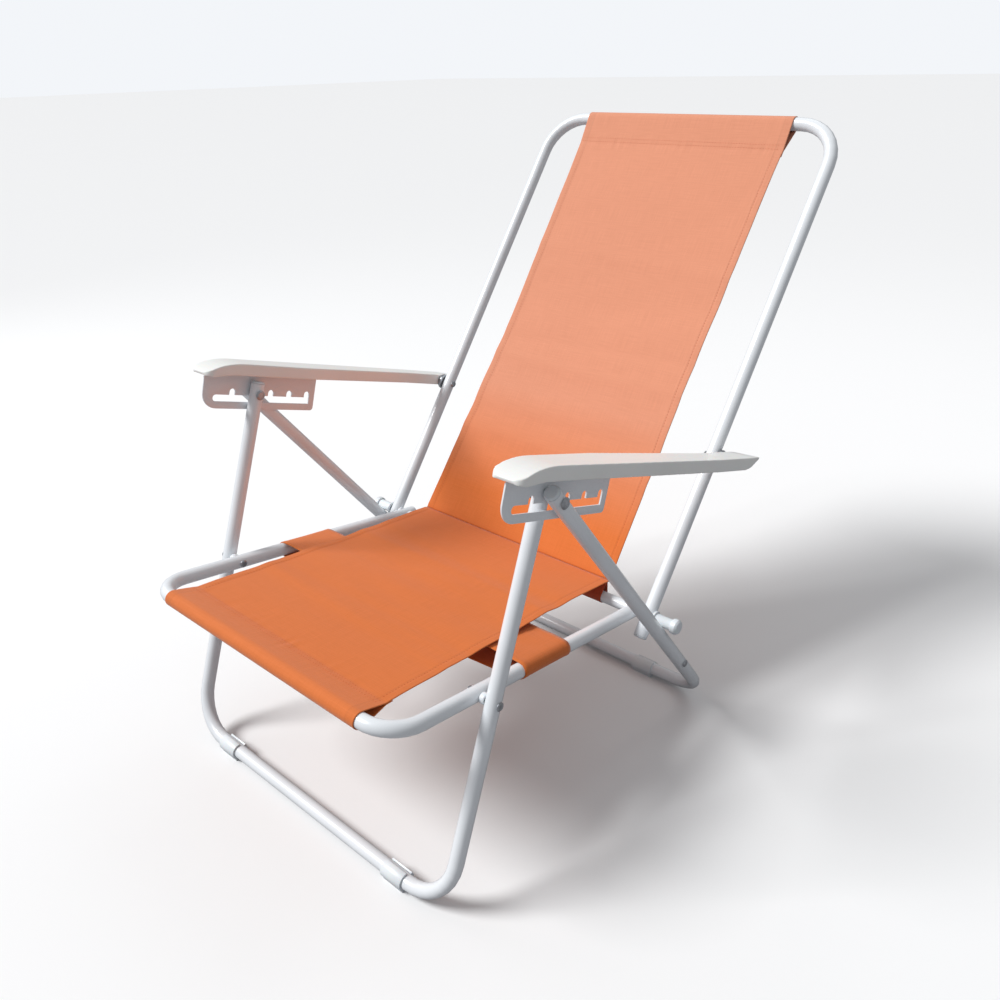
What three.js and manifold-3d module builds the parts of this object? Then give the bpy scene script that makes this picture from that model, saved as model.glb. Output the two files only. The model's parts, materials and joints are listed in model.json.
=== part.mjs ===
// A folding beach chair: four bent steel tube frames, a pair of moulded armrests with slotted
// steel plates that set the recline, and a fabric sling. Millimetres, +Z up, the front faces -Y.
// The origin is on the ground, under the middle of the chair's width and depth.
import * as THREE from "three";
import { mergeVertices } from "three/addons/utils/BufferGeometryUtils.js";
import Module from "manifold-3d";

const wasm = await Module();
wasm.setup();

// Driving dimensions. A length along a frame runs on the centre lines of its tubes.
const seam = 0.3; // left between two pieces that touch
const tube = { radius: 9.5, wall: 1.2, sides: 24, bendSteps: 8 };
const frontLegs = {
  halfWidth: 258, toPin: 503.5, toSeatPivot: 263.5, rake: 69.4, pastPin: 15, bend: 62,
};
const rearLegs = { length: 597, pastPin: 15, rivetFromBar: 132, bend: 62 };
const seat = { pivotToFront: 130, pivotToCrossbar: 325, pastCrossbar: 15, bend: 44 };
const back = { toArmPivot: 237, toTop: 743, pastCrossbar: 30, bend: 62 };
const crossbar = {
  rod: 5, play: 0.4, spacer: 8, flange: 10.6, flangeWidth: 3, capLength: 10, capBore: 5,
};
const stack = { seatSpacer: 7, backWasher: 4, armWasher: 6 }; // gaps between neighbours along X
const plate = {
  thickness: 2, play: 0.75, front: -78, rear: 110, bottom: -24, top: 36,
  slotFront: -62, slotDepth: 18.6, slotHeight: 9.5, notchPitch: 31.9, notchesFront: 1,
  notchesRear: 3, frontCorner: 22, rearCorner: 5, flangeWidth: 13.5, flangeFront: -36, shoulder: 20,
  screws: [-24, 84], screwHole: 2.2,
};
const arm = {
  reach: 388, pivotRise: 31.7, inset: 8, width: 44, wall: 2.2, top: 42.3, roof: 2.6, bottom: 25.5,
  nose: -85, noseDrop: 25, noseLip: 22, noseStart: -25, noseBulge: 8, lipFace: 2, lipLength: 12,
  skirtFront: -45, skirtRear: 390, taperStart: 84, splayStart: -10, splayEnd: 306, splay: 13,
  tailStart: 405, tail: 443, tipInset: 8, tipThickness: 3, tipDrop: 2, cornerRadius: 13,
  bossRadius: 5, openTo: 29.5,
};
const pin = { radius: 4.25, play: 0.35, head: 7, headHeight: 2.4 };
const rivet = { radius: 3, play: 0.3, head: 5.6, headHeight: 2, boss: 7, armWasher: 12.5 };
const screw = { radius: 1.8, head: 3.8, headHeight: 1.8, bite: 5 };
const cap = { stem: 7.5, head: 3.6, lead: 1 };
const foot = {
  spacing: 175, length: 34, thickness: 2.7, drop: 3.5, padWidth: 16, mouth: 50, mouthAt: 60, skirt: 45,
};
const cloth = {
  thickness: 1.5, halfWidth: 186, frontHem: 36, topHem: 46, stitch: 8, seatEnd: 45, backStart: 45,
  endRise: 2,
};
const strap = { fromPivot: 75, width: 88, sag: 4, shoulder: 30, upper: 0.35 };
const sleeve = { halfWidth: 180, apex: 24, apexLean: 4, seamLayers: 4 };

// Where the frames' axes lie, seen from the side: y runs to the rear, z up.
const rad = THREE.MathUtils.degToRad;
const point = (y, z) => new THREE.Vector2(y, z);
const along = (from, angle, distance) =>
  point(from.x + Math.cos(angle) * distance, from.y + Math.sin(angle) * distance);
const heading = (from, to) => Math.atan2(to.y - from.y, to.x - from.x);

// The crossing of two circles that lies to the left of the line from centre a to centre b.
function crossing(a, radiusA, b, radiusB) {
  const gap = a.distanceTo(b);
  const reach = (gap ** 2 + radiusA ** 2 - radiusB ** 2) / (2 * gap);
  const rise = Math.sqrt(radiusA ** 2 - reach ** 2);
  const line = heading(a, b);
  return along(along(a, line, reach), line + Math.PI / 2, rise);
}

const barHeight = tube.radius + foot.drop;
const frontBar = point(0, barHeight);
const rake = rad(frontLegs.rake);
const pinPoint = along(frontBar, rake, frontLegs.toPin);
const seatPivot = along(frontBar, rake, frontLegs.toSeatPivot);
const rearFall = -Math.asin((pinPoint.y - barHeight) / rearLegs.length);

// The crossbar lies on the rear side of the rear legs, as far from the seat pivot as the seat lets it.
const legSide = along(pinPoint, rearFall + Math.PI / 2, tube.radius + crossbar.spacer + seam);
const toSide = legSide.clone().sub(seatPivot);
const slide = -(toSide.x * Math.cos(rearFall) + toSide.y * Math.sin(rearFall));
const sideFoot = along(legSide, rearFall, slide);
const slideOn = Math.sqrt(seat.pivotToCrossbar ** 2 - sideFoot.distanceTo(seatPivot) ** 2);
const crossbarPoint = along(sideFoot, rearFall, slideOn);
const seatTilt = heading(seatPivot, crossbarPoint);
const armPivot = crossing(pinPoint, arm.reach, crossbarPoint, back.toArmPivot);
const backTilt = heading(crossbarPoint, armPivot);
const armPivotAlong = Math.sqrt(arm.reach ** 2 - arm.pivotRise ** 2);
const armTilt = heading(pinPoint, armPivot) - Math.atan2(arm.pivotRise, armPivotAlong);

// How far each frame's side tubes stand from the middle.
const tubeWidth = 2 * tube.radius;
const seatHalf = frontLegs.halfWidth - tubeWidth - stack.seatSpacer;
const backHalf = seatHalf + tubeWidth + stack.backWasher;
const plateInside = frontLegs.halfWidth + tube.radius + plate.play;
const plateOutside = plateInside + plate.thickness;
const rearHalf = plateOutside + plate.play + tube.radius;
const armInside = frontLegs.halfWidth - arm.inset;
const armOutside = armInside + arm.width;
const tailInside = backHalf + tube.radius + stack.armWasher;

const white = new THREE.MeshStandardMaterial({ color: 0xeef1f4, roughness: 0.3, metalness: 0 });
const plastic = new THREE.MeshStandardMaterial({ color: 0xf1f1ee, roughness: 0.42, metalness: 0 });
const steel = new THREE.MeshStandardMaterial({ color: 0xa7abb0, roughness: 0.35, metalness: 1 });
const fabric = new THREE.MeshStandardMaterial({ color: 0xdf7f4d, roughness: 0.85, metalness: 0 });

// Geometry to a solid for cutting, and back.
function solid(geometry) {
  const plain = geometry.clone();
  for (const name of ["normal", "uv"]) plain.deleteAttribute(name);
  const merged = mergeVertices(plain, 1e-4);
  const corners = merged.index.array;
  const kept = [];
  for (let i = 0; i < corners.length; i += 3) {
    const [a, b, c] = corners.subarray(i, i + 3);
    if (a !== b && b !== c && c !== a) kept.push(a, b, c);
  }
  return new wasm.Manifold(
    new wasm.Mesh({
      numProp: 3,
      vertProperties: merged.attributes.position.array,
      triVerts: new Uint32Array(kept),
    }),
  );
}

function skin(body) {
  const { vertProperties, triVerts } = body.getMesh();
  const geometry = new THREE.BufferGeometry();
  geometry.setAttribute("position", new THREE.BufferAttribute(vertProperties, 3));
  geometry.setIndex(new THREE.BufferAttribute(triVerts, 1));
  geometry.computeVertexNormals();
  return geometry;
}

const cut = (geometry, cutters) =>
  skin(cutters.reduce((body, cutter) => body.subtract(solid(cutter)), solid(geometry)));

// A shape drawn in the side plane, its x to the rear and its y up, extruded from x = inside to outside.
function sideBlock(shape, inside, outside, curveSegments = 8) {
  const depth = outside - inside;
  const geometry = new THREE.ExtrudeGeometry(shape, { depth, curveSegments, bevelEnabled: false });
  const [x, y, z] = [0, 1, 2].map((axis) => new THREE.Vector3().setComponent(axis, 1));
  return geometry
    .applyMatrix4(new THREE.Matrix4().makeBasis(y, z, x))
    .translate(inside, 0, 0);
}

// A piece turned about the X axis: pairs of radius and x, from low x to high x.
const turned = (pairs, sides = 16) =>
  new THREE.LatheGeometry(pairs.map(([r, x]) => new THREE.Vector2(r, x)), sides).rotateZ(-Math.PI / 2);

const rod = (radius, from, to, y = 0, z = 0) =>
  turned([[0, from], [radius, from], [radius, to], [0, to]]).translate(0, y, z);

const ring = (bore, radius, from, to) =>
  turned([[bore, from], [radius, from], [radius, to], [bore, to], [bore, from]]);

// A headed rivet along X between two faces; a head height of 0 leaves that end flush.
function headed(radius, head, from, to, heightFrom, heightTo) {
  const pairs = [[0, from - heightFrom]];
  if (heightFrom) {
    pairs.push([head * 0.7, from - heightFrom], [head, from - heightFrom * 0.4], [head, from]);
  }
  pairs.push([radius, from], [radius, to]);
  if (heightTo) pairs.push([head, to], [head, to + heightTo * 0.4], [head * 0.7, to + heightTo]);
  pairs.push([0, to + heightTo]);
  return turned(pairs);
}

// A path of stations: one step on each straight, several round each bend.
class BentPath extends THREE.Curve {
  constructor(stations) {
    super();
    this.stations = stations;
  }
  at(u) {
    return this.stations[Math.round(u * (this.stations.length - 1))];
  }
  getPointAt(u) {
    return this.at(u).position.clone();
  }
  getTangentAt(u) {
    return this.at(u).tangent.clone();
  }
}

// A U of round tube in the XY plane: a bar across at y = barAt and two side tubes that end at y = endAt.
function uTube(halfWidth, barAt, endAt, bend) {
  const toBar = Math.sign(barAt - endAt);
  const steps = tube.bendSteps;
  const stations = [];
  const station = (x, y, angle) =>
    stations.push({
      position: new THREE.Vector3(x, y, 0),
      tangent: new THREE.Vector3(-Math.sin(angle), toBar * Math.cos(angle), 0),
    });
  station(halfWidth, endAt, 0);
  for (const side of [1, -1]) {
    for (let i = 0; i <= steps; i++) {
      const angle = ((side > 0 ? 0 : 1) + i / steps) * (Math.PI / 2);
      const x = side * (halfWidth - bend) + bend * Math.cos(angle);
      station(x, barAt - toBar * bend * (1 - Math.sin(angle)), angle);
    }
  }
  station(-halfWidth, endAt, Math.PI);
  const section = new THREE.Shape().absarc(0, 0, tube.radius, 0, 2 * Math.PI);
  section.holes.push(new THREE.Path().absarc(0, 0, tube.radius - tube.wall, 0, 2 * Math.PI));
  return new THREE.ExtrudeGeometry(section, {
    steps: stations.length - 1,
    curveSegments: tube.sides / 2,
    extrudePath: new BentPath(stations),
  });
}

// Cross holes through both side tubes of a frame, at distances along it.
const crossHoles = (halfWidth, holes) =>
  holes.flatMap(([radius, y]) =>
    [1, -1].map((side) => {
      const middle = side * halfWidth;
      return rod(radius, middle - tube.radius - 1, middle + tube.radius + 1, y);
    }),
  );

// The plastic plug of a tube end: its stem goes down into the tube, its head stands on the end.
function endPlug() {
  const inner = tube.radius - tube.wall - seam;
  const outline = [
    [0, -cap.stem], [inner - cap.lead, -cap.stem], [inner, cap.lead - cap.stem], [inner, seam], [tube.radius, seam],
    [tube.radius, cap.head * 0.45], [tube.radius * 0.8, cap.head * 0.85], [0, cap.head],
  ];
  return new THREE.LatheGeometry(outline.map(([r, y]) => new THREE.Vector2(r, y)), 16);
}

// A clip-on glide round a ground bar: a C that is open at the top rear, with a flat pad below.
function glide() {
  const inner = tube.radius + seam;
  const outer = tube.radius + foot.thickness;
  const half = foot.padWidth / 2;
  const mouth = [rad(foot.mouthAt - foot.mouth / 2), rad(foot.mouthAt + foot.mouth / 2)];
  const shape = new THREE.Shape();
  shape.absarc(0, 0, outer, mouth[1], Math.PI + rad(foot.skirt));
  shape.lineTo(-half, -barHeight);
  shape.lineTo(half, -barHeight);
  shape.absarc(0, 0, outer, -rad(foot.skirt), mouth[0]);
  shape.absarc(0, 0, inner, mouth[0], mouth[1] - 2 * Math.PI, true);
  shape.closePath();
  return sideBlock(shape, foot.spacing - foot.length / 2, foot.spacing + foot.length / 2);
}

// The slotted plate under an armrest, its pin line at y = 0, z = 0: a channel with notches above it.
function notchedPlate() {
  const outline = new THREE.Shape();
  outline.moveTo(plate.flangeFront, plate.top);
  outline.lineTo(plate.front, plate.shoulder);
  outline.lineTo(plate.front, plate.bottom + plate.frontCorner);
  const [front, rear] = [plate.frontCorner, plate.rearCorner];
  outline.absarc(plate.front + front, plate.bottom + front, front, Math.PI, 1.5 * Math.PI);
  outline.absarc(plate.rear - rear, plate.bottom + rear, rear, 1.5 * Math.PI, 2 * Math.PI);
  outline.lineTo(plate.rear, plate.top);
  outline.closePath();

  const notch = pin.radius + pin.play;
  const floor = notch - plate.slotDepth;
  const roof = floor + plate.slotHeight;
  const end = plate.slotHeight / 2;
  const slot = new THREE.Path();
  const rearEnd = plate.notchesRear * plate.notchPitch + notch;
  slot.moveTo(rearEnd, floor);
  slot.lineTo(rearEnd, 0);
  for (let k = plate.notchesRear; k >= -plate.notchesFront; k--) {
    const middle = k * plate.notchPitch;
    if (k < plate.notchesRear) slot.lineTo(middle + notch, roof);
    slot.absarc(middle, 0, notch, 0, Math.PI);
    slot.lineTo(middle - notch, roof);
  }
  slot.absarc(plate.slotFront + end, (floor + roof) / 2, end, Math.PI / 2, 1.5 * Math.PI);
  slot.closePath();
  outline.holes.push(slot);

  const rim = new THREE.Shape();
  const [low, high] = [plate.top - plate.thickness, plate.top];
  rim.moveTo(plate.flangeFront, low);
  rim.lineTo(plate.rear - plate.rearCorner, low);
  rim.lineTo(plate.rear - plate.rearCorner, high);
  rim.lineTo(plate.flangeFront, high);
  const flange = sideBlock(rim, plateInside - plate.flangeWidth, plateOutside - plate.thickness / 2);
  const body = solid(sideBlock(outline, plateInside, plateOutside, 5)).add(solid(flange));
  return cut(skin(body), plate.screws.map((y) => screwRod(plate.screwHole, low - 1, high + 1, y)));
}

// An upright rod at a screw's place, in the middle of the plate's flange.
const screwX = plateInside - plate.flangeWidth / 2;
const screwRod = (radius, from, to, y, sides = 12) =>
  new THREE.CylinderGeometry(radius, radius, to - from, sides)
    .rotateX(Math.PI / 2)
    .translate(screwX, y, (from + to) / 2);

// An armrest seen from above, its x across and its y along, drawn in by a margin on every side.
function armPlan(margin) {
  const inside = armInside + margin;
  const outside = armOutside - margin;
  const nose = arm.nose + margin;
  const corner = arm.cornerRadius - margin;
  const shape = new THREE.Shape();
  shape.moveTo(inside, arm.taperStart);
  shape.lineTo(inside, nose + corner);
  shape.absarc(inside + corner, nose + corner, corner, Math.PI, 1.5 * Math.PI);
  shape.absarc(outside - corner, nose + corner, corner, 1.5 * Math.PI, 2 * Math.PI);
  shape.lineTo(outside, arm.splayStart);
  shape.lineTo(outside + arm.splay, arm.splayEnd);
  shape.lineTo(outside + arm.splay, arm.tailStart);
  shape.lineTo(armOutside + arm.splay - arm.tipInset, arm.tail - 2 * margin);
  shape.lineTo(tailInside + margin, arm.tailStart + arm.cornerRadius);
  shape.lineTo(tailInside + margin, arm.splayEnd);
  shape.closePath();
  return shape;
}

// Its side view: a flat roof, a nose that curves down to a lip, and skirts that run out at the tail.
function armSide(margin, roof) {
  const top = arm.top - roof;
  const nose = arm.nose + margin;
  const shape = new THREE.Shape();
  shape.moveTo(nose, arm.noseDrop - roof);
  shape.lineTo(nose + arm.lipFace, arm.noseLip - roof);
  shape.lineTo(nose + arm.lipLength, arm.noseLip - roof);
  shape.lineTo(arm.skirtFront, arm.bottom - roof);
  shape.lineTo(arm.skirtRear, arm.bottom - roof);
  shape.lineTo(arm.tail - margin, top - arm.tipThickness - arm.tipDrop);
  shape.lineTo(arm.tail - margin, top - arm.tipDrop);
  shape.lineTo(arm.tailStart, top);
  shape.lineTo(arm.noseStart, top);
  const bulge = (nose + arm.noseStart) / 2 - arm.noseBulge;
  shape.quadraticCurveTo(bulge, top, nose, arm.noseDrop - roof + arm.lipFace);
  shape.closePath();
  return shape;
}

// The moulded armrest: roof, skirts and screw bosses, open below, its pin line at y = 0, z = 0.
function armShell() {
  const tall = { depth: 2 * arm.top, curveSegments: 6, bevelEnabled: false };
  const upright = (margin) => new THREE.ExtrudeGeometry(armPlan(margin), tall);
  const plan = (margin) => solid(upright(margin).translate(0, 0, -tall.depth / 2));
  const past = armOutside + arm.splay + 1;
  const side = (margin, roof) => solid(sideBlock(armSide(margin, roof), armInside - 1, past));
  const below = new THREE.BoxGeometry(2 * arm.width, arm.tailStart - arm.skirtFront, 2 * arm.width);
  below.translate(armInside + arm.width / 2, (arm.tailStart + arm.skirtFront) / 2 - arm.tipInset, 0);
  const bottom = solid(below.translate(0, 0, arm.openTo - arm.width));
  const hollow = plan(arm.wall).intersect(side(arm.wall, arm.roof).add(bottom));
  const bossTop = arm.top - arm.roof / 2;
  const bosses = plate.screws.map((y) => solid(screwRod(arm.bossRadius, plate.top + seam, bossTop, y)));
  const body = plan(0).intersect(side(0, 0)).subtract(hollow);
  const shell = bosses.reduce((sum, boss) => sum.add(boss), body);
  const boreTop = plate.top + screw.bite + seam;
  const bores = plate.screws.map((y) => screwRod(screw.radius + seam, 0, boreTop, y));
  const pivotHole = rod(rivet.radius + rivet.play, tailInside - 1, tailInside + arm.wall + 1);
  return cut(skin(shell), [...bores, pivotHole.translate(0, armPivotAlong, arm.pivotRise)]);
}

// The angle at which a line from the point (y, z) touches a circle round the origin, on either side.
const touching = (radius, y, z, side) =>
  Math.atan2(z, y) + side * Math.acos(radius / Math.hypot(y, z));

// A panel of cloth, its y away from the bar that it is hung on: a hemmed pocket round the bar, then a
// flat band that falls to the height endRise at its far end.
function hemmedPanel(length, hem, endRise) {
  const inner = tube.radius + seam;
  const outer = inner + cloth.thickness;
  const undersideAt = (y) => inner + ((endRise - inner) * y) / length;
  const shape = new THREE.Shape();
  const lowerHem = undersideAt(hem) - cloth.thickness;
  shape.absarc(0, 0, outer, 0.5 * Math.PI, 2 * Math.PI + touching(outer, hem, lowerHem, -1));
  shape.lineTo(hem, lowerHem);
  shape.lineTo(length, endRise);
  shape.lineTo(length, endRise + cloth.thickness);
  shape.closePath();
  const pocket = new THREE.Path();
  const pocketEnd = hem - cloth.stitch;
  const lowerEnd = undersideAt(pocketEnd) - cloth.thickness;
  pocket.absarc(0, 0, inner, 0.5 * Math.PI, 2 * Math.PI + touching(inner, pocketEnd, lowerEnd, -1));
  pocket.lineTo(pocketEnd, lowerEnd);
  pocket.lineTo(pocketEnd, undersideAt(pocketEnd));
  pocket.closePath();
  shape.holes.push(pocket);
  return sideBlock(shape, -cloth.halfWidth, cloth.halfWidth);
}

// The strap under the seat: a band round both side tubes, its two layers hanging low between them.
function strapBand() {
  const inner = tube.radius + seam;
  const outer = inner + cloth.thickness;
  const loop = (radius, lift) => {
    const path = new THREE.Shape();
    const shoulder = seatHalf - strap.shoulder;
    path.moveTo(shoulder, -strap.sag + lift);
    path.lineTo(-shoulder, -strap.sag + lift);
    path.absarc(-seatHalf, 0, radius, strap.upper * Math.PI, 1.5 * Math.PI);
    path.absarc(seatHalf, 0, radius, 1.5 * Math.PI, (3 - strap.upper) * Math.PI);
    path.closePath();
    return path;
  };
  const band = loop(outer, 0);
  band.holes.push(loop(inner, -cloth.thickness));
  const options = { depth: strap.width, curveSegments: 8, bevelEnabled: false };
  const geometry = new THREE.ExtrudeGeometry(band, options);
  return geometry.rotateX(Math.PI / 2).translate(0, strap.fromPivot + strap.width, 0);
}

// The cloth loop that ties the sling to the crossbar: round the spacer tube, pinched to an apex above.
function clothLoop() {
  const tie = (radius, apex) => {
    const path = new THREE.Shape();
    const [from, to] = [1, -1].map((side) => touching(radius, sleeve.apexLean, apex, side));
    path.absarc(0, 0, radius, from, to + 2 * Math.PI);
    path.lineTo(sleeve.apexLean, apex);
    path.closePath();
    return path;
  };
  const inner = crossbar.spacer + seam;
  const shape = tie(inner + cloth.thickness, sleeve.apex - cloth.thickness);
  shape.holes.push(tie(inner, sleeve.apex - sleeve.seamLayers * cloth.thickness));
  return sideBlock(shape, -sleeve.halfWidth, sleeve.halfWidth);
}

// The scene graph: one group for each frame, its y along the frame from the named point.
const chair = new THREE.Group();

function frameGroup(at, angle) {
  const group = new THREE.Group();
  group.position.set(0, at.x, at.y);
  group.rotation.x = angle;
  chair.add(group);
  return group;
}

function put(group, name, geometry, material, y = 0, z = 0) {
  const mesh = new THREE.Mesh(geometry, material);
  mesh.name = name;
  mesh.position.set(0, y, z);
  group.add(mesh);
  return mesh;
}

// The same piece on both sides, the left one a mirror image.
function pair(group, name, geometry, material, y = 0, z = 0) {
  for (const [side, sign] of [["right", 1], ["left", -1]]) {
    put(group, name + "_" + side, geometry, material, y, z).scale.x = sign;
  }
}

// End plugs on both side tubes of a frame, pointing along +y or -y.
function plugs(group, name, halfWidth, y, direction) {
  const geometry = endPlug().rotateX(direction > 0 ? 0 : Math.PI).translate(halfWidth, 0, 0);
  pair(group, name, geometry, plastic, y);
}

const pinHole = pin.radius + pin.play;
const rivetHole = rivet.radius + rivet.play;
const rodHole = crossbar.rod + crossbar.play;

// Front legs, which stand still: seat pivots and half pins are fixed in them.
const frontGroup = frameGroup(frontBar, rake);
const frontTop = frontLegs.toPin + frontLegs.pastPin;
const frontHoles = crossHoles(frontLegs.halfWidth, [
  [pinHole, frontLegs.toPin],
  [rivetHole, frontLegs.toSeatPivot],
]);
const frontTube = uTube(frontLegs.halfWidth, 0, frontTop, frontLegs.bend);
put(frontGroup, "front_leg_frame", cut(frontTube, frontHoles), white);
plugs(frontGroup, "front_leg_plug", frontLegs.halfWidth, frontTop, 1);
const frontInside = frontLegs.halfWidth - tube.radius - seam;
const frontPin = headed(pin.radius, pin.head, frontInside, plateInside - seam, pin.headHeight, 0);
pair(frontGroup, "front_leg_pin", frontPin, steel, frontLegs.toPin);
const seatInside = seatHalf - tube.radius - seam;
const frontOutside = frontLegs.halfWidth + tube.radius + seam;
const height = rivet.headHeight;
const seatRivet = headed(rivet.radius, rivet.head, seatInside, frontOutside, height, height);
pair(frontGroup, "seat_pivot_rivet", seatRivet, steel, frontLegs.toSeatPivot);
const seatSpacer = ring(rivetHole, rivet.boss, seatHalf + tube.radius + seam, frontInside);
pair(frontGroup, "seat_pivot_spacer", seatSpacer, plastic, frontLegs.toSeatPivot);
pair(frameGroup(frontBar, 0), "front_foot", glide(), plastic);

// Rear legs, hung on the pins.
const rearGroup = frameGroup(pinPoint, rearFall);
const rearRivetAt = rearLegs.length - rearLegs.rivetFromBar;
const rearHoles = crossHoles(rearHalf, [[pinHole, 0], [rivetHole, rearRivetAt]]);
const rearTube = uTube(rearHalf, rearLegs.length, -rearLegs.pastPin, rearLegs.bend);
put(rearGroup, "rear_leg_frame", cut(rearTube, rearHoles), white);
plugs(rearGroup, "rear_leg_plug", rearHalf, -rearLegs.pastPin, -1);
const rearOutside = rearHalf + tube.radius + seam;
const rearPin = headed(pin.radius, pin.head, plateOutside + seam, rearOutside, 0, pin.headHeight);
pair(rearGroup, "rear_leg_pin", rearPin, steel);
const rearInside = rearHalf - tube.radius - seam;
const rearRivet = headed(rivet.radius, rivet.head, rearInside, rearOutside, height, height);
pair(rearGroup, "rear_leg_rivet", rearRivet, steel, rearRivetAt);
const rearBar = along(pinPoint, rearFall, rearLegs.length);
pair(frameGroup(rearBar, 0), "rear_foot", glide(), plastic);

// Seat frame, its y from the seat pivot to the rear.
const seatGroup = frameGroup(seatPivot, seatTilt);
const seatHoles = crossHoles(seatHalf, [[rivetHole, 0], [rodHole, seat.pivotToCrossbar]]);
const seatEnd = seat.pivotToCrossbar + seat.pastCrossbar;
const seatTube = uTube(seatHalf, -seat.pivotToFront, seatEnd, seat.bend);
put(seatGroup, "seat_frame", cut(seatTube, seatHoles), white);
plugs(seatGroup, "seat_frame_plug", seatHalf, seatEnd, 1);
const seatSlingLength = seat.pivotToFront + seat.pivotToCrossbar - cloth.seatEnd;
const seatSling = hemmedPanel(seatSlingLength, cloth.frontHem, cloth.endRise);
put(seatGroup, "seat_sling", seatSling, fabric, -seat.pivotToFront);
put(seatGroup, "under_seat_strap", strapBand(), fabric);

// Crossbar: a rod through seat and back frames, in a spacer tube, with guide sleeves at its ends.
const crossGroup = frameGroup(crossbarPoint, backTilt);
const backInside = backHalf - tube.radius - seam;
const sleeveFrom = backHalf + tube.radius + seam;
const sleeveTo = rearOutside + crossbar.flangeWidth;
const rodEnd = sleeveTo + crossbar.capBore;
put(crossGroup, "crossbar_rod", rod(crossbar.rod, -rodEnd, rodEnd), steel);
put(crossGroup, "crossbar_spacer_tube", ring(rodHole, crossbar.spacer, -seatInside, seatInside), white);
const washer = ring(rodHole, crossbar.spacer, seatHalf + tube.radius + seam, backInside);
pair(crossGroup, "crossbar_washer", washer, plastic);
const flangeIn = sleeveFrom + crossbar.flangeWidth;
const guide = turned([
  [rodHole, sleeveFrom], [crossbar.flange, sleeveFrom], [crossbar.flange, flangeIn], [crossbar.spacer, flangeIn],
  [crossbar.spacer, sleeveTo], [rodHole, sleeveTo], [rodHole, sleeveFrom],
]);
pair(crossGroup, "crossbar_guide_sleeve", guide, plastic);
const capFrom = sleeveTo + seam;
const endCap = turned([
  [0, rodEnd + seam], [rodHole, rodEnd + seam], [rodHole, capFrom], [crossbar.flange, capFrom],
  [crossbar.flange, capFrom + crossbar.capLength * 0.7], [crossbar.flange * 0.8, capFrom + crossbar.capLength],
  [0, capFrom + crossbar.capLength],
]);
pair(crossGroup, "crossbar_end_cap", endCap, plastic);
put(crossGroup, "crossbar_cloth_loop", clothLoop().rotateX(seatTilt - backTilt), fabric);

// Back frame, its y up from the crossbar.
const backGroup = frameGroup(crossbarPoint, backTilt);
const backHoles = crossHoles(backHalf, [[rodHole, 0], [rivetHole, back.toArmPivot]]);
const backTube = uTube(backHalf, back.toTop, -back.pastCrossbar, back.bend);
put(backGroup, "back_frame", cut(backTube, backHoles), white);
plugs(backGroup, "back_frame_plug", backHalf, -back.pastCrossbar, -1);
const backSling = hemmedPanel(back.toTop - cloth.backStart, cloth.topHem, cloth.endRise);
put(backGroup, "back_sling", backSling, fabric, back.toTop).scale.y = -1;
const tailHead = tailInside + arm.wall + seam;
const armRivet = headed(rivet.radius, rivet.head, backInside, tailHead, height, height);
pair(backGroup, "arm_pivot_rivet", armRivet, steel, back.toArmPivot);
const armWasher = ring(rivetHole, rivet.armWasher, backHalf + tube.radius + seam, tailInside - seam);
pair(backGroup, "arm_pivot_washer", armWasher, steel, back.toArmPivot);

// Armrests, their y along the arm from the pin in its notch.
const armGroup = frameGroup(pinPoint, armTilt);
pair(armGroup, "armrest", armShell(), plastic);
pair(armGroup, "notched_plate", notchedPlate(), white);
const screwHead = plate.top - plate.thickness - seam;
const bolt = (y) => {
  const shank = solid(screwRod(screw.radius, screwHead - 1, plate.top + screw.bite, y));
  return skin(shank.add(solid(screwRod(screw.head, screwHead - screw.headHeight, screwHead, y))));
};
for (const [name, y] of [["front", plate.screws[0]], ["rear", plate.screws[1]]]) {
  pair(armGroup, "plate_screw_" + name, bolt(y), steel);
}

// The origin goes under the middle of the chair's depth, from the seat's front hem to the back's top hem.
const hemRadius = tube.radius + seam + cloth.thickness;
const foremost = along(seatPivot, seatTilt + Math.PI, seat.pivotToFront).x - hemRadius;
const rearmost = along(crossbarPoint, backTilt, back.toTop).x + hemRadius;
chair.position.y = -(foremost + rearmost) / 2;

const part = new THREE.Group();
part.add(chair);
export default part;
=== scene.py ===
import bmesh
import bpy
import math
import json
from mathutils import Matrix, Vector, noise


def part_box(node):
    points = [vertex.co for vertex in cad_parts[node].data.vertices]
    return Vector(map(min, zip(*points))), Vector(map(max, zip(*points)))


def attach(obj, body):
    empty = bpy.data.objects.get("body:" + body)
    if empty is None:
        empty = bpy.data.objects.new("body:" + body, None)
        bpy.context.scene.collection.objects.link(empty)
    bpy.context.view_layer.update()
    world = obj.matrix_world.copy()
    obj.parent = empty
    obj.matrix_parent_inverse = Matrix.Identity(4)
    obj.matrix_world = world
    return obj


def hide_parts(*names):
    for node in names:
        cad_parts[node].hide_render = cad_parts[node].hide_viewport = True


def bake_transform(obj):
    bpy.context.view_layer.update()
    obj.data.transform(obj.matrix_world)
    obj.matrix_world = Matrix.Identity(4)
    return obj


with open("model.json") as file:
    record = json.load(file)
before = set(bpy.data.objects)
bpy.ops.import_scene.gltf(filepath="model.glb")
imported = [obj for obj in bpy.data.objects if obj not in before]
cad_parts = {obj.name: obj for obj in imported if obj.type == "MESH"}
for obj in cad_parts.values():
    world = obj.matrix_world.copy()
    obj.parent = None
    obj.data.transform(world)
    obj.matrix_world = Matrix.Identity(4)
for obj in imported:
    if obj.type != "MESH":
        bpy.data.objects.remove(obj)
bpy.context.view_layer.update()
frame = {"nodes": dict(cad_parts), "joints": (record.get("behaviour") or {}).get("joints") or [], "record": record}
nodes = frame["nodes"]
joints = {joint["name"]: joint for joint in frame["joints"]}
mm = 0.001

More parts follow.
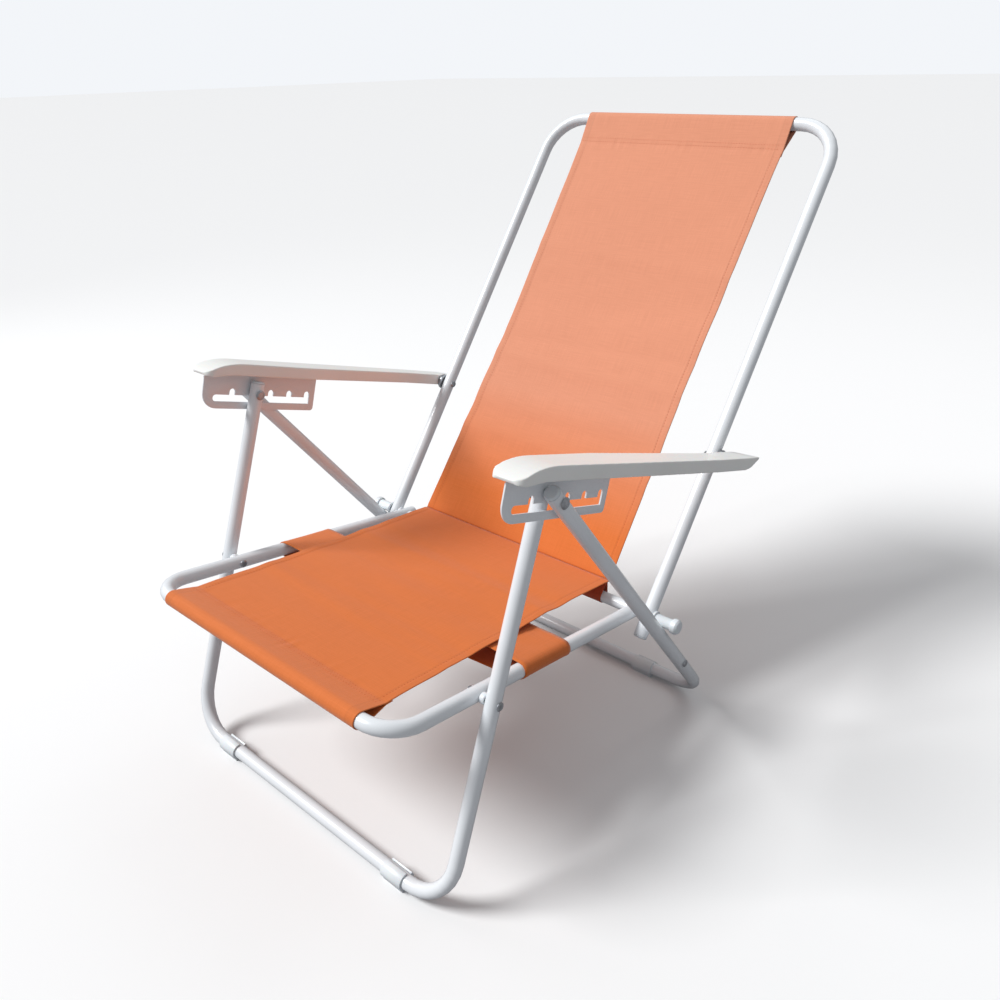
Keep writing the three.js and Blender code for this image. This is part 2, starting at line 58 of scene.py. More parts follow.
cameraPlace = {
    "position": (0.7935, -0.8906, 0.8978),
    "azimuth": 42.15,  # degrees to the right of the chair's front
    "fall": 26.31,  # degrees below the horizon
    "roll": -1.45,
    "lens": 32.02,
    "nearest": 0.05,
}


def placeCamera(place):
    turn, fall, roll = (math.radians(place[key]) for key in ("azimuth", "fall", "roll"))
    ahead = Vector((-math.sin(turn) * math.cos(fall), math.cos(turn) * math.cos(fall), -math.sin(fall)))
    level = Vector((math.cos(turn), math.sin(turn), 0))
    upward = level.cross(ahead)
    right = math.cos(roll) * level + math.sin(roll) * upward
    up = -math.sin(roll) * level + math.cos(roll) * upward
    bpy.ops.object.camera_add()
    camera = bpy.context.object
    camera.data.lens = place["lens"]
    turned = Matrix((right, up, -ahead)).transposed().to_4x4()
    camera.matrix_world = Matrix.Translation(place["position"]) @ turned
    camera.data.clip_start = place["nearest"]
    bpy.context.scene.camera = camera


placeCamera(cameraPlace)
print("camera placed")


class Value:  # an output socket that can be used in sums
    def __init__(self, finish, socket):
        self.finish = finish
        self.socket = socket

    def sum(self, operation, *others):
        return self.finish.maths(operation, self, *others)

    def __add__(self, other):
        return self.sum("ADD", other)

    def __mul__(self, other):
        return self.sum("MULTIPLY", other)

    def __sub__(self, other):
        return self.sum("SUBTRACT", other)


class Finish:  # a material with one principled surface
    def __init__(self, name, **settings):
        self.material = bpy.data.materials.new(name)
        self.material.use_nodes = True
        self.tree = self.material.node_tree
        self.surface = self.tree.nodes["Principled BSDF"]
        for key, value in settings.items():
            self.surface.inputs[key.replace("_", " ")].default_value = value

    def feed(self, socket, value):
        if isinstance(value, Value):
            self.tree.links.new(value.socket, socket)
        else:
            socket.default_value = value

    def node(self, kind, settings, sockets, out=0):
        made = self.tree.nodes.new(kind)
        for key, value in settings.items():
            setattr(made, key, value)
        for key, value in sockets.items():
            self.feed(made.inputs[key], value)
        return Value(self, made.outputs[out])

    def maths(self, operation, *values):
        return self.node("ShaderNodeMath", {"operation": operation}, dict(enumerate(values)))

    def place(self, output="Object"):
        return self.node("ShaderNodeTexCoord", {}, {}, output)

    def noise(self, place, scale, detail, stretch=(1, 1, 1)):
        place = self.node("ShaderNodeMapping", {}, {"Vector": place, "Scale": stretch})
        return self.node("ShaderNodeTexNoise", {}, {"Vector": place, "Scale": scale, "Detail": detail})

    def between(self, value, low, high, start=0.0, end=1.0):
        sockets = {"Value": value, "From Min": start, "From Max": end, "To Min": low, "To Max": high}
        return self.node("ShaderNodeMapRange", {"clamp": True}, sockets)

    def blendColours(self, factor, first, second):
        sockets = {0: factor, 6: first, 7: second}  # the colour mixer's own socket numbers
        return self.node("ShaderNodeMix", {"data_type": "RGBA"}, sockets, 2)

    def bump(self, height, distance, strength=1.0, below=None):
        sockets = {"Height": height, "Distance": distance, "Strength": strength}
        if below is not None:
            sockets["Normal"] = below
        return self.node("ShaderNodeBump", {}, sockets)

    def show(self, **sockets):
        for key, value in sockets.items():
            self.feed(self.surface.inputs[key.replace("_", " ")], value)


def srgb(red, green, blue):
    linear = [((c + 0.055) / 1.055) ** 2.4 if c > 0.04045 else c / 12.92 for c in (red, green, blue)]
    return (*linear, 1)


paint = {
    "fresh": srgb(0.925, 0.94, 0.955),
    "worn": srgb(0.885, 0.90, 0.915),
    "wearScale": 14,  # noise scales here and below are per metre
    "wearLevels": (0.35, 0.8),  # noise levels between which one shade passes into the other
    "speckScale": 1900,
    "peelScale": 620,  # orange peel of the powder coat
    "peelDepth": 0.03 * mm,
    "roughness": (0.22, 0.38),
}


def powderCoat():
    finish = Finish("whitePowderCoat", Coat_Weight=0.35, Coat_Roughness=0.12, IOR=1.5)
    place = finish.place()
    peel = finish.noise(place, paint["peelScale"], 1.5)
    wear = finish.noise(place, paint["wearScale"], 3.0)
    speck = finish.noise(place, paint["speckScale"], 0.0)
    worn = finish.between(wear, 0, 1, *paint["wearLevels"])
    finish.show(
        Base_Color=finish.blendColours(worn, paint["fresh"], paint["worn"]),
        Roughness=finish.between(wear + speck * 0.35, *paint["roughness"], 0.4, 1.0),
        Normal=finish.bump(peel, paint["peelDepth"]),
    )
    return finish.material


moulding = {
    "face": srgb(0.965, 0.965, 0.955),
    "shade": srgb(0.935, 0.935, 0.92),
    "roughness": 0.40,
    "flowScale": 9,
    "flowLevels": (0.3, 0.8),
    "flowStretch": (3, 1, 1),
    "grainScale": 1500,
    "grainDepth": 0.02 * mm,
}
glide = {
    "face": srgb(0.90, 0.92, 0.93),
    "shade": srgb(0.86, 0.88, 0.90),
    "roughness": 0.36,
}


def mouldedPlastic(name, colours):
    finish = Finish(name, IOR=1.46, Subsurface_Weight=0.04, Subsurface_Scale=0.002)
    place = finish.place()
    grain = finish.noise(place, moulding["grainScale"], 1.0)
    flow = finish.noise(place, moulding["flowScale"], 2.0, moulding["flowStretch"])
    shaded = finish.between(flow, 0, 1, *moulding["flowLevels"])
    smoothest, roughest = colours["roughness"] - 0.05, colours["roughness"] + 0.09
    finish.show(
        Base_Color=finish.blendColours(shaded, colours["face"], colours["shade"]),
        Roughness=finish.between(flow + grain * 0.3, smoothest, roughest, 0.4, 1.0),
        Normal=finish.bump(grain, moulding["grainDepth"]),
    )
    return finish.material


zinc = {
    "bright": srgb(0.74, 0.75, 0.77),
    "dull": srgb(0.55, 0.56, 0.57),
    "turningScale": 900,
    "turningStretch": (0.05, 1, 1),
    "turningDepth": 0.02 * mm,
    "tarnishScale": 130,
    "tarnishLevels": (0.35, 0.75),
    "roughness": (0.26, 0.44),
}


def zincSteel():
    finish = Finish("zincPlatedSteel", Metallic=1.0)
    place = finish.place()
    turning = finish.noise(place, zinc["turningScale"], 2.0, zinc["turningStretch"])
    tarnish = finish.noise(place, zinc["tarnishScale"], 3.0)
    dulled = finish.between(tarnish, 0, 1, *zinc["tarnishLevels"])
    finish.show(
        Base_Color=finish.blendColours(dulled, zinc["bright"], zinc["dull"]),
        Roughness=finish.between(turning, *zinc["roughness"], 0.3, 0.7),
        Normal=finish.bump(turning, zinc["turningDepth"]),
    )
    return finish.material


dyeAndPaintedLight = {
    # seat and back are the same cloth: the back's paler colour is painted light, standing for the key light
    # falling on it
    "seat": srgb(0.885, 0.468, 0.205),
    "back": srgb(0.90, 0.60, 0.47),
    "thread": srgb(0.80, 0.36, 0.17),
    # deep red painted shade for the crossbar loop, which lies in shade under the seat
    "under": srgb(0.66, 0.16, 0.15),
    "turn": (0.28, 0.42),  # heights between which the seat's colour passes into the back's; the back's paler colour is painted light
    "shade": 0.82,  # value of the darker yarns and of doubled cloth
    "cloudScale": 5,
    "cloudShare": 0.3,
    "yarnShare": 0.4,
}
weave = {
    "pitch": 0.95 * mm,  # from one yarn to the next
    "depth": 0.07 * mm,
    "slubScale": 700,
    "slubStretch": 0.035,
    "slubDepth": 0.10 * mm,
    "slubLevels": (0.65, 1.35),
    "roughness": (0.74, 0.88),
    "hemAt": 173 * mm,  # from the middle of the cloth
    "hemLine": 1.3 * mm,
    "hemShade": 0.18,
    "hemEdge": 1 * mm,
}


def wovenPolyester(name, low, high, heights):
    finish = Finish(name, Sheen_Weight=0.22, Sheen_Roughness=0.45, IOR=1.4)
    run = finish.place("UV")
    width = finish.node("ShaderNodeSeparateXYZ", {}, {"Vector": run}, 0)
    length = finish.node("ShaderNodeSeparateXYZ", {}, {"Vector": run}, 1)
    height = finish.node("ShaderNodeSeparateXYZ", {}, {"Vector": finish.place()}, 2)
    turns = 2 * math.pi / weave["pitch"]
    yarnTops = (width * turns).sum("SINE") * (length * turns).sum("SINE")
    weft = finish.noise(run, weave["slubScale"], 1.0, (weave["slubStretch"], 1, 1))
    warp = finish.noise(run, weave["slubScale"], 1.0, (1, weave["slubStretch"], 1))
    cloud = finish.noise(finish.place(), dyeAndPaintedLight["cloudScale"], 3.0)
    # painted light and shade: the colour passes from low to high with height (the back painted paler, the crossbar
    # loop painted darker)
    dyedAndPaintedLight = finish.blendColours(finish.between(height, 0, 1, *heights), low, high)
    fromMiddle = width.sum("ABSOLUTE")
    fromHem = (fromMiddle - weave["hemAt"]).sum("ABSOLUTE")
    hemLine = finish.between(fromHem, 0.5, 0, 0.0, weave["hemLine"])
    hemEnd = weave["hemAt"] + weave["hemEdge"]
    doubled = finish.between(fromMiddle, 0.0, weave["hemShade"], weave["hemAt"], hemEnd)
    yarns = finish.between(weft + warp, 0.0, 1.0, *weave["slubLevels"])
    dark = finish.node("ShaderNodeHueSaturation", {}, {"Color": dyedAndPaintedLight, "Value": dyeAndPaintedLight["shade"]})
    depth = yarns * dyeAndPaintedLight["yarnShare"] + cloud * dyeAndPaintedLight["cloudShare"] + doubled
    ground = finish.bump(yarnTops, weave["depth"], 0.8)
    finish.show(
        Base_Color=finish.blendColours(depth + hemLine, dyedAndPaintedLight, dark),
        Roughness=finish.between(yarns, *weave["roughness"]),
        Normal=finish.bump(weft + warp, weave["slubDepth"], 0.6, ground),
    )
    return finish.material


finishes = {
    "painted_steel": powderCoat(),
    "armrest_plastic": mouldedPlastic("armrestPlastic", moulding),
    "white_plastic": mouldedPlastic("glidePlastic", glide),
    "fastener_steel": zincSteel(),
    "sling_fabric": wovenPolyester("orangePolyester", dyeAndPaintedLight["seat"], dyeAndPaintedLight["back"], dyeAndPaintedLight["turn"]),
}
# the crossbar loop is painted mostly in this deep red painted shade
paintedShadeCloth = wovenPolyester("orangePolyesterPaintedShade", dyeAndPaintedLight["under"], dyeAndPaintedLight["seat"], (-1.0, 2.5))
# the stitches pass from the thread's own colour into the back's paler painted light with height
threadFinish = wovenPolyester("orangeThread", dyeAndPaintedLight["thread"], dyeAndPaintedLight["back"], (0.3, 1.2))
print("finishes made")


edges = {
    "joined": 0.02 * mm,  # corners closer than this become one
    "crisp": math.radians(32),  # sharper turns than this are not shaded smooth
    "rounded": math.radians(40),  # sharper turns than this are rounded
    "radius": {"white_plastic": 0.7 * mm, "fastener_steel": 0.35 * mm},
    "plateRadius": 0.35 * mm,
}


def weldCorners(piece):
    weld = piece.modifiers.new("weld", "WELD")
    weld.merge_threshold = edges["joined"]


def shadeSmooth(piece):
    for face in piece.data.polygons:
        face.use_smooth = True


def finishNode(node, slotName):
    piece = nodes[node]
    piece.data.materials.clear()
    piece.data.materials.append(finishes[slotName])
    normals = piece.data.attributes.get("custom_normal")
    if normals:
        piece.data.attributes.remove(normals)
    shadeSmooth(piece)
    weldCorners(piece)
    radius = edges["radius"].get(slotName, 0.0)
    if node.startswith("notched_plate"):
        radius = edges["plateRadius"]
    if radius:
        bevel = piece.modifiers.new("round", "BEVEL")
        bevel.width, bevel.segments = radius, 2
        bevel.limit_method, bevel.angle_limit = "ANGLE", edges["rounded"]
    split = piece.modifiers.new("edges", "EDGE_SPLIT")
    split.split_angle = edges["crisp"]


soft = {"seat_sling", "back_sling", "under_seat_strap", "crossbar_cloth_loop"}
for part in frame["record"]["subparts"]:
    if part["node"] not in soft:
        finishNode(part["node"], part["material_slot"])
print("structure finished")


cloth = {
    "tube": 9.5 * mm,  # radius of the frames' tubes
    "thickness": 0.9 * mm,
    "clear": 0.5 * mm,  # between a tube and the cloth round it
    "layers": 0.65,  # share of the thickness from a seam's middle to each of its layers
    "halfWidth": 186 * mm,
    "sideHem": 13 * mm,
    "hemLift": 0.45 * mm,
    "hemStitchIn": 2.0 * mm,  # from the hem's inner edge to its stitches
    "hemRise": 6,  # how fast the hems stand up from the seams
    "drawn": (1.6 * mm, 0.5 * mm),  # how wide and how deep a row of stitches draws a hem in
    "seamDrawn": (2.0 * mm, 0.3 * mm),
    "seamRows": (2 * mm, 8 * mm),  # from a sleeve's seam to its rows of stitches
    "rowEnds": (4 * mm, 8 * mm),  # from a seam and from the crease to the ends of the hems' rows
    "stitch": 3.2 * mm,
    "stitchGap": 1.3 * mm,
    "step": 3.2 * mm,
    "hemStep": 1.4 * mm,
    "hemGrid": 3 * mm,  # how far the fine steps go beyond the hem
    "turnSteps": 24,  # steps of cloth round a bar
    "crease": (7.4 * mm, 25.7 * mm),  # from the crossbar to where seat, back and loop are sewn together
    "creaseTuck": (0.3 * mm, -1.4 * mm),  # from the crease to the sewn edges below it
    "creaseEase": 5 * mm,  # the cloth runs straight to this near the crease
    "bend": (4 * mm, 95 * mm),  # from the crease, where the cloth gives way to either frame
    "fold": 10 * mm,  # cloth turned under, to count in a panel's flat length
# cloth turned under
}
seatPivot = Vector(joints["fold"]["pos_m"][1:])
crossbar = Vector(joints["recline"]["pos_m"][1:])
armPivot = Vector(joints["arm_swing_right"]["pos_m"][1:])
crease = crossbar + Vector(cloth["crease"])
seatRun = (crossbar - seatPivot).normalized()
backRun = (armPivot - crossbar).normalized()
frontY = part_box("seat_frame")[0].y + cloth["tube"]
frontBar = seatPivot - seatRun * ((seatPivot.x - frontY) / seatRun.x)
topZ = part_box("back_frame")[1].z - cloth["tube"]
topBar = crossbar + backRun * ((topZ - crossbar.y) / backRun.y)
wrap = cloth["tube"] + cloth["clear"] + cloth["thickness"] / 2  # from a tube's axis to its cloth
creaseEnd = crease + Vector(cloth["creaseTuck"])


def unit(value):
    return min(max(value, 0.0), 1.0)


def inSpace(point, x=0.0):
    return (x, point.x, point.y)


def leftOf(direction):
    return Vector((-direction.y, direction.x))


def angleOf(direction):
    return math.atan2(direction.y, direction.x)


def arcPoints(centre, radius, start, end, count):
    steps = (start + (end - start) * i / count for i in range(count + 1))
    return [centre + Vector((math.cos(a), math.sin(a))) * radius for a in steps]


def tangentAngle(centre, radius, point, side):  # where a line from point touches the circle
    reach = point - centre
    return angleOf(reach) + side * math.acos(radius / reach.length)


def evenly(points, step):
    lengths = [0.0]
    for a, b in zip(points, points[1:]):
        lengths.append(lengths[-1] + (b - a).length)
    count = max(2, round(lengths[-1] / step))
    even, place = [], 0
    for i in range(count + 1):
        s = lengths[-1] * i / count
        while place < len(points) - 2 and lengths[place + 1] < s:
            place += 1
        share = (s - lengths[place]) / max(lengths[place + 1] - lengths[place], 1e-9)
        even.append(points[place].lerp(points[place + 1], min(share, 1.0)))
    return even


class Panel:  # a strip of cloth that follows a line in the side plane, from edge to edge across
    def __init__(self, points, halfWidth, lift):
        self.points = evenly(points, cloth["step"])
        self.halfWidth, self.lift = halfWidth, lift
        self.length = sum((b - a).length for a, b in zip(self.points, self.points[1:]))

    def at(self, across, along):  # across from -1 to 1, along in metres
        place = unit(along / self.length) * (len(self.points) - 1)
        i = min(int(place), len(self.points) - 2)
        near, far = self.points[i], self.points[i + 1]
        before = self.points[max(i - 1, 0)]
        after = self.points[min(i + 2, len(self.points) - 1)]
        direction = (far - near).lerp(after - before, 0.5).normalized()
        outward = leftOf(direction)
        spot = near.lerp(far, place - i) + outward * self.lift(across, along)
        x = across * self.halfWidth(along / self.length)
        return Vector(inSpace(spot, x)), Vector(inSpace(outward)), Vector(inSpace(direction))


def placesAcross(half):  # from edge to edge, close together in the side hems
    edge = cloth["sideHem"] + cloth["hemGrid"]
    hemCount = round(edge / cloth["hemStep"])
    middleCount = round((half - edge) / cloth["step"])
    side = [half - edge * i / hemCount for i in range(hemCount)]
    side += [(half - edge) * (1 - i / middleCount) for i in range(middleCount)]
    return [-x / half for x in side] + [0.0] + [x / half for x in reversed(side)]


def applyAll(piece):
    bpy.ops.object.select_all(action="DESELECT")
    piece.select_set(True)
    bpy.context.view_layer.objects.active = piece
    for modifier in list(piece.modifiers):
        bpy.ops.object.modifier_apply(modifier=modifier.name)


def meshPiece(name, build, finish):
    mesh = bpy.data.meshes.new(name)
    build.to_mesh(mesh)
    build.free()
    piece = bpy.data.objects.new(name, mesh)
    bpy.context.scene.collection.objects.link(piece)
    mesh.materials.append(finish)
    return piece


def thicken(piece):
    solid = piece.modifiers.new("cloth", "SOLIDIFY")
    solid.thickness, solid.offset = cloth["thickness"], 0.0
    applyAll(piece)


def panelPiece(name, panel, finish):
    rows = max(2, round(panel.length / cloth["step"]))
    spots = placesAcross(cloth["halfWidth"])
    build = bmesh.new()
    runs = build.loops.layers.uv.new("clothRun")
    grid, flat = [], {}
    for i in range(rows + 1):
        along = panel.length * i / rows
        line = []
        for c in spots:
            corner = build.verts.new(panel.at(c, along)[0])
            flat[corner] = (c * cloth["halfWidth"], along)
            line.append(corner)
        grid.append(line)
    for low, high in zip(grid, grid[1:]):
        for corners in zip(low, low[1:], high[1:], high):
            face = build.faces.new(corners)
            face.smooth = True
            for loop in face.loops:
                loop[runs].uv = flat[loop.vert]
    piece = meshPiece(name, build, finish)
    thicken(piece)
    return piece


def wrinkle(x, along, seed, size, across, down):  # across and down are noise scales per metre
    return size * noise.noise(Vector((x * across, along * down, seed)))


bowed = {"perMetre": 7.3, "perPlace": 40}  # phase of a ridge's bow, in radians


def ridge(along, at, width, height, x=0.0, bow=0.0):
    middle = at + bow * math.sin(x * bowed["perMetre"] + at * bowed["perPlace"])
    return height * math.exp(-(((along - middle) / width) ** 2))


def folds(shape, x, along, share, height):  # wrinkles and ridges of the cloth between its two ends
    free = math.sin(math.pi * share)
    for wave in shape["wrinkles"]:
        height += free * wrinkle(x, along, *wave)
    for at, size in shape["ridges"]:
        height += ridge(share, at, shape["ridgeWidth"], size * mm, x, shape["ridgeBow"])
    return height


def hemStep(x, half):  # the doubled cloth of a side hem, drawn in along its stitches
    edge = half - abs(x)
    step = cloth["hemLift"] if edge < cloth["sideHem"] else 0.0
    return step - ridge(edge, cloth["sideHem"] - cloth["hemStitchIn"], *cloth["drawn"])


puckers = {
    "size": 0.42 * mm,
    "turns": 240,  # radians of pucker per metre of seam
    "stray": 7,
    "strayScale": 19,
    "sizeScale": 31,
    "seamReach": 12 * mm,
    "creaseReach": 16 * mm,
}


def pucker(x, along, at, reach, seed):
    fade = math.exp(-(((along - at) / reach) ** 2))
    stray = noise.noise(Vector((x * puckers["strayScale"], seed, 0)))
    size = 0.5 + noise.noise(Vector((x * puckers["sizeScale"], seed, 4)))
    return puckers["size"] * fade * math.sin(x * puckers["turns"] + puckers["stray"] * stray) * size


def sewn(shape, x, along, share, seamAt, creaseAt, seed):  # the hems and what the seams draw in
    free = math.sin(math.pi * share)
    height = hemStep(x, shape["halfWidth"]) * min(1.0, free * cloth["hemRise"])
    height += pucker(x, along, seamAt, puckers["seamReach"], seed)
    height += pucker(x, along, creaseAt, puckers["creaseReach"], seed + 1) * free
    return height - ridge(along, seamAt, *cloth["seamDrawn"])


seatCloth = {
    "hem": 36 * mm,  # from the front bar's axis back to the sleeve's seam
    "seamRise": 5 * mm,  # the seam stands this far over the frame's middle
    "seamWidth": 9 * mm,
    "halfWidth": 187 * mm,
    "bulge": -3 * mm,  # how much the side edges draw in at mid length
    "taper": 1.5 * mm,  # how much narrower each side is at the crease
    "wrinkles": ((3.0, 2.4 * mm, 3.2, 17.0), (8.0, 0.9 * mm, 9.0, 30.0)),  # seed, size and scales
    "ridges": ((0.24, 0.8), (0.31, -0.7), (0.66, 1.0), (0.74, -0.7)),  # place and millimetres
    "ridgeWidth": 0.026,
    "ridgeBow": 0.012,
    "lowest": -1.1 * mm,  # no fold goes deeper, so that the cloth clears the strap below it
}


def seatPanel(shape):
    seam = frontBar + seatRun * shape["hem"] + leftOf(seatRun) * shape["seamRise"]
    run = (crease - seam).normalized()
    layer = leftOf(run) * cloth["thickness"] * cloth["layers"]
    upper, lower = seam + layer, seam - layer
    top = tangentAngle(frontBar, wrap, upper, 1)
    low = tangentAngle(frontBar, wrap, lower, -1)
    points = [lower + run * shape["seamWidth"], lower]
    points += [*arcPoints(frontBar, wrap, low + 2 * math.pi, top, cloth["turnSteps"]), upper]
    points += [crease - run * cloth["creaseEase"], creaseEnd]
    lengths = [(b - a).length for a, b in zip(points, points[1:])]
    seamAt = sum(lengths[:-2])  # along the cloth, where the upper layer meets the seam
    total = sum(lengths)

    def lift(across, along):
        x = across * shape["halfWidth"]
        share = unit((along - seamAt) / (total - seamAt))
        height = max(folds(shape, x, along, share, 0.0), shape["lowest"])
        return height + sewn(shape, x, along, share, seamAt, total, 1.0)

    def halfWidth(part):
        share = unit((part * total - seamAt) / (total - seamAt))
        drawnIn = shape["bulge"] * math.sin(math.pi * share) ** 0.7
        return shape["halfWidth"] + drawnIn - share * shape["taper"]

    return Panel(points, halfWidth, lift), seamAt, total


backCloth = {
    "hem": 46 * mm,
    "seamRise": 4 * mm,
    "seamWidth": 9 * mm,
    "halfWidth": 183 * mm,
    "bulge": -5 * mm,
    "taper": 2.5 * mm,  # how much wider each side is at the crease
    "sag": 5 * mm,
    "flatter": 0.3,  # share of the sag that is lost at the side edges
    "wrinkles": ((21.0, 3.0 * mm, 2.6, 11.0), (27.0, 0.9 * mm, 8.0, 25.0)),
    "ridges": ((0.22, 1.2), (0.29, -0.9), (0.43, 1.4), (0.48, -1.0), (0.71, 0.8)),
    "ridgeWidth": 0.018,
    "ridgeBow": 0.010,
}


def backPanel(shape):
    seam = topBar - backRun * shape["hem"] + leftOf(backRun) * shape["seamRise"]
    run = (seam - crease).normalized()
    layer = leftOf(run) * cloth["thickness"] * cloth["layers"]
    fore, rear = seam + layer, seam - layer
    first = tangentAngle(topBar, wrap, fore, -1)
    last = tangentAngle(topBar, wrap, rear, 1)
    points = [creaseEnd, crease + run * cloth["creaseEase"], fore]
    points += arcPoints(topBar, wrap, first, last - 2 * math.pi, cloth["turnSteps"])
    points += [rear, rear - run * shape["seamWidth"]]
    lengths = [(b - a).length for a, b in zip(points, points[1:])]
    seamAt = sum(lengths[:2])  # from the crease to the sleeve's seam
    total = sum(lengths)

    def lift(across, along):
        x = across * shape["halfWidth"]
        share = unit(along / seamAt)
        sag = shape["sag"] * math.sin(math.pi * share) * (1 - shape["flatter"] * across**2)
        height = folds(shape, x, along, share, -sag)
        return height + sewn(shape, x, along, share, seamAt, 0.0, 5.0)

    def halfWidth(part):
        share = unit(part * total / seamAt)
        drawnIn = shape["bulge"] * math.sin(math.pi * share) ** 0.7
        return shape["halfWidth"] + shape["taper"] * (1 - share) + drawnIn

    return Panel(points, halfWidth, lift), seamAt


thread = {
    "top": 1.05 * mm,  # heights over the cloth's middle
    "middle": 0.6 * mm,
    "bottom": 0.2 * mm,
    "ends": 0.35 * mm,
    "half": 0.38 * mm,  # half its width
    "edge": 3 * mm,  # from the cloth's side edge to the first stitch of a cross row
}


def stitch(build, spot, outward, direction):
    side = direction.cross(outward)
    half = direction * cloth["stitch"] / 2
    ends = [spot + half * s + outward * thread["ends"] for s in (-1, 1)]
    ring = [
        spot + outward * thread["top"],
        spot + side * thread["half"] + outward * thread["middle"],
        spot + outward * thread["bottom"],
        spot - side * thread["half"] + outward * thread["middle"],
    ]
    tips = [build.verts.new(end) for end in ends]
    middle = [build.verts.new(point) for point in ring]
    for a, b in zip(middle, middle[1:] + middle[:1]):
        build.faces.new((tips[1], a, b))
        build.faces.new((tips[0], b, a))


def stitching(name, panel, crossRows, start, end):
    build = bmesh.new()
    pitch = cloth["stitch"] + cloth["stitchGap"]
    inset = cloth["sideHem"] - cloth["hemStitchIn"]
    for side in (-1, 1):
        for i in range(int((end - start) / pitch)):
            along = start + (i + 0.5) * pitch
            half = panel.halfWidth(along / panel.length)
            stitch(build, *panel.at(side * (1 - inset / half), along))
    for along in crossRows:
        half = panel.halfWidth(along / panel.length)
        reach = half - thread["edge"]
        for i in range(int(2 * reach / pitch)):
            spot, outward, direction = panel.at(((i + 0.5) * pitch - reach) / half, along)
            stitch(build, spot, outward, Vector((1, 0, 0)))
    bmesh.ops.recalc_face_normals(build, faces=build.faces)
    piece = meshPiece(name, build, threadFinish)
    return piece


def makeSeat(shape):
    panel, seamAt, total = seatPanel(shape)
    piece = panelPiece("seat_cloth", panel, finishes["sling_fabric"])
    rows = [seamAt - row for row in cloth["seamRows"]]
    fromSeam, fromCrease = cloth["rowEnds"]
    threads = stitching("seat_stitching", panel, rows, seamAt + fromSeam, total - fromCrease)
    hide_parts("seat_sling")
    for part in (piece, threads):
        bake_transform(part)


def makeBack(shape):
    panel, seamAt = backPanel(shape)
    piece = panelPiece("back_cloth", panel, finishes["sling_fabric"])
    rows = [seamAt + row for row in cloth["seamRows"]]
    fromSeam, fromCrease = cloth["rowEnds"]
    threads = stitching("back_stitching", panel, rows, fromCrease, seamAt - fromSeam)
    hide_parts("back_sling")
    for part in (piece, threads):
        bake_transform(part)


makeSeat(seatCloth)
makeBack(backCloth)
print("seat and back cloth made")

crossLoop = {
    "halfWidth": 180 * mm,
    "spacer": 8 * mm,  # radius of the tube it goes round
    "drop": 2.2 * mm,  # from the crease down to the loop's ends
    "apart": 0.6 * mm,
    "turnSteps": 22,
    "wrinkle": (33.0, 0.5 * mm, 9.0, 30.0),
    "fold": 20 * mm,
}


def makeLoop(shape):
    radius = shape["spacer"] + cloth["clear"] + cloth["thickness"] / 2
    top = crease - Vector((0, shape["drop"]))
    front = tangentAngle(crossbar, radius, top, 1)
    rear = tangentAngle(crossbar, radius, top, -1) + 2 * math.pi
    round_ = arcPoints(crossbar, radius, front, rear, shape["turnSteps"])
    panel = Panel(
        [top, *round_, top + Vector((shape["apart"], 0))],
        lambda share: shape["halfWidth"],
        lambda across, along: wrinkle(across * shape["halfWidth"], along, *shape["wrinkle"]),
    )
    piece = panelPiece("crossbar_loop_cloth", panel, paintedShadeCloth)
    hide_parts("crossbar_cloth_loop")
    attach(piece, "crossbar")


makeLoop(crossLoop)

strapCloth = {
    "start": 75 * mm,  # from the seat pivot to the rear
    "width": 88 * mm,
    "rows": 16,
    "sag": 12 * mm,
    "hem": 8 * mm,
    "hemLift": 0.35 * mm,
    "settle": 0.2 * mm,
    "tubeAt": 232 * mm,
    "overTube": 0.4 * mm,
    "wrinkle": (41.0, 0.9 * mm, 22.0, 30.0),
    "gripped": 8 * mm,  # this near the tubes only a share of the wrinkles is left
    "grippedShare": 0.2,
    "step": 6 * mm,
    "turnSteps": 14,
    "halfSections": 12,  # of each layer, from the middle to a tube
    "overlap": 15 * mm,
}


def strapLoop(shape):  # once round both side tubes, from the lower layer to the upper one
    span, turns, sections = shape["tubeAt"], shape["turnSteps"], shape["halfSections"]
    right, left = Vector((span, 0)), Vector((-span, 0))
    shares = [x / sections for x in range(1 - sections, sections)]
    loop = [Vector((t * span, -wrap - shape["sag"] * (1 - t * t))) for t in shares]
    loop += arcPoints(right, wrap, -0.5 * math.pi, 0.5 * math.pi, turns)
    loop += [Vector((-t * span, wrap + shape["overTube"])) for t in shares]
    loop += arcPoints(left, wrap, 0.5 * math.pi, 1.5 * math.pi, turns)
    return evenly([*loop, loop[0]], shape["step"])[:-1]


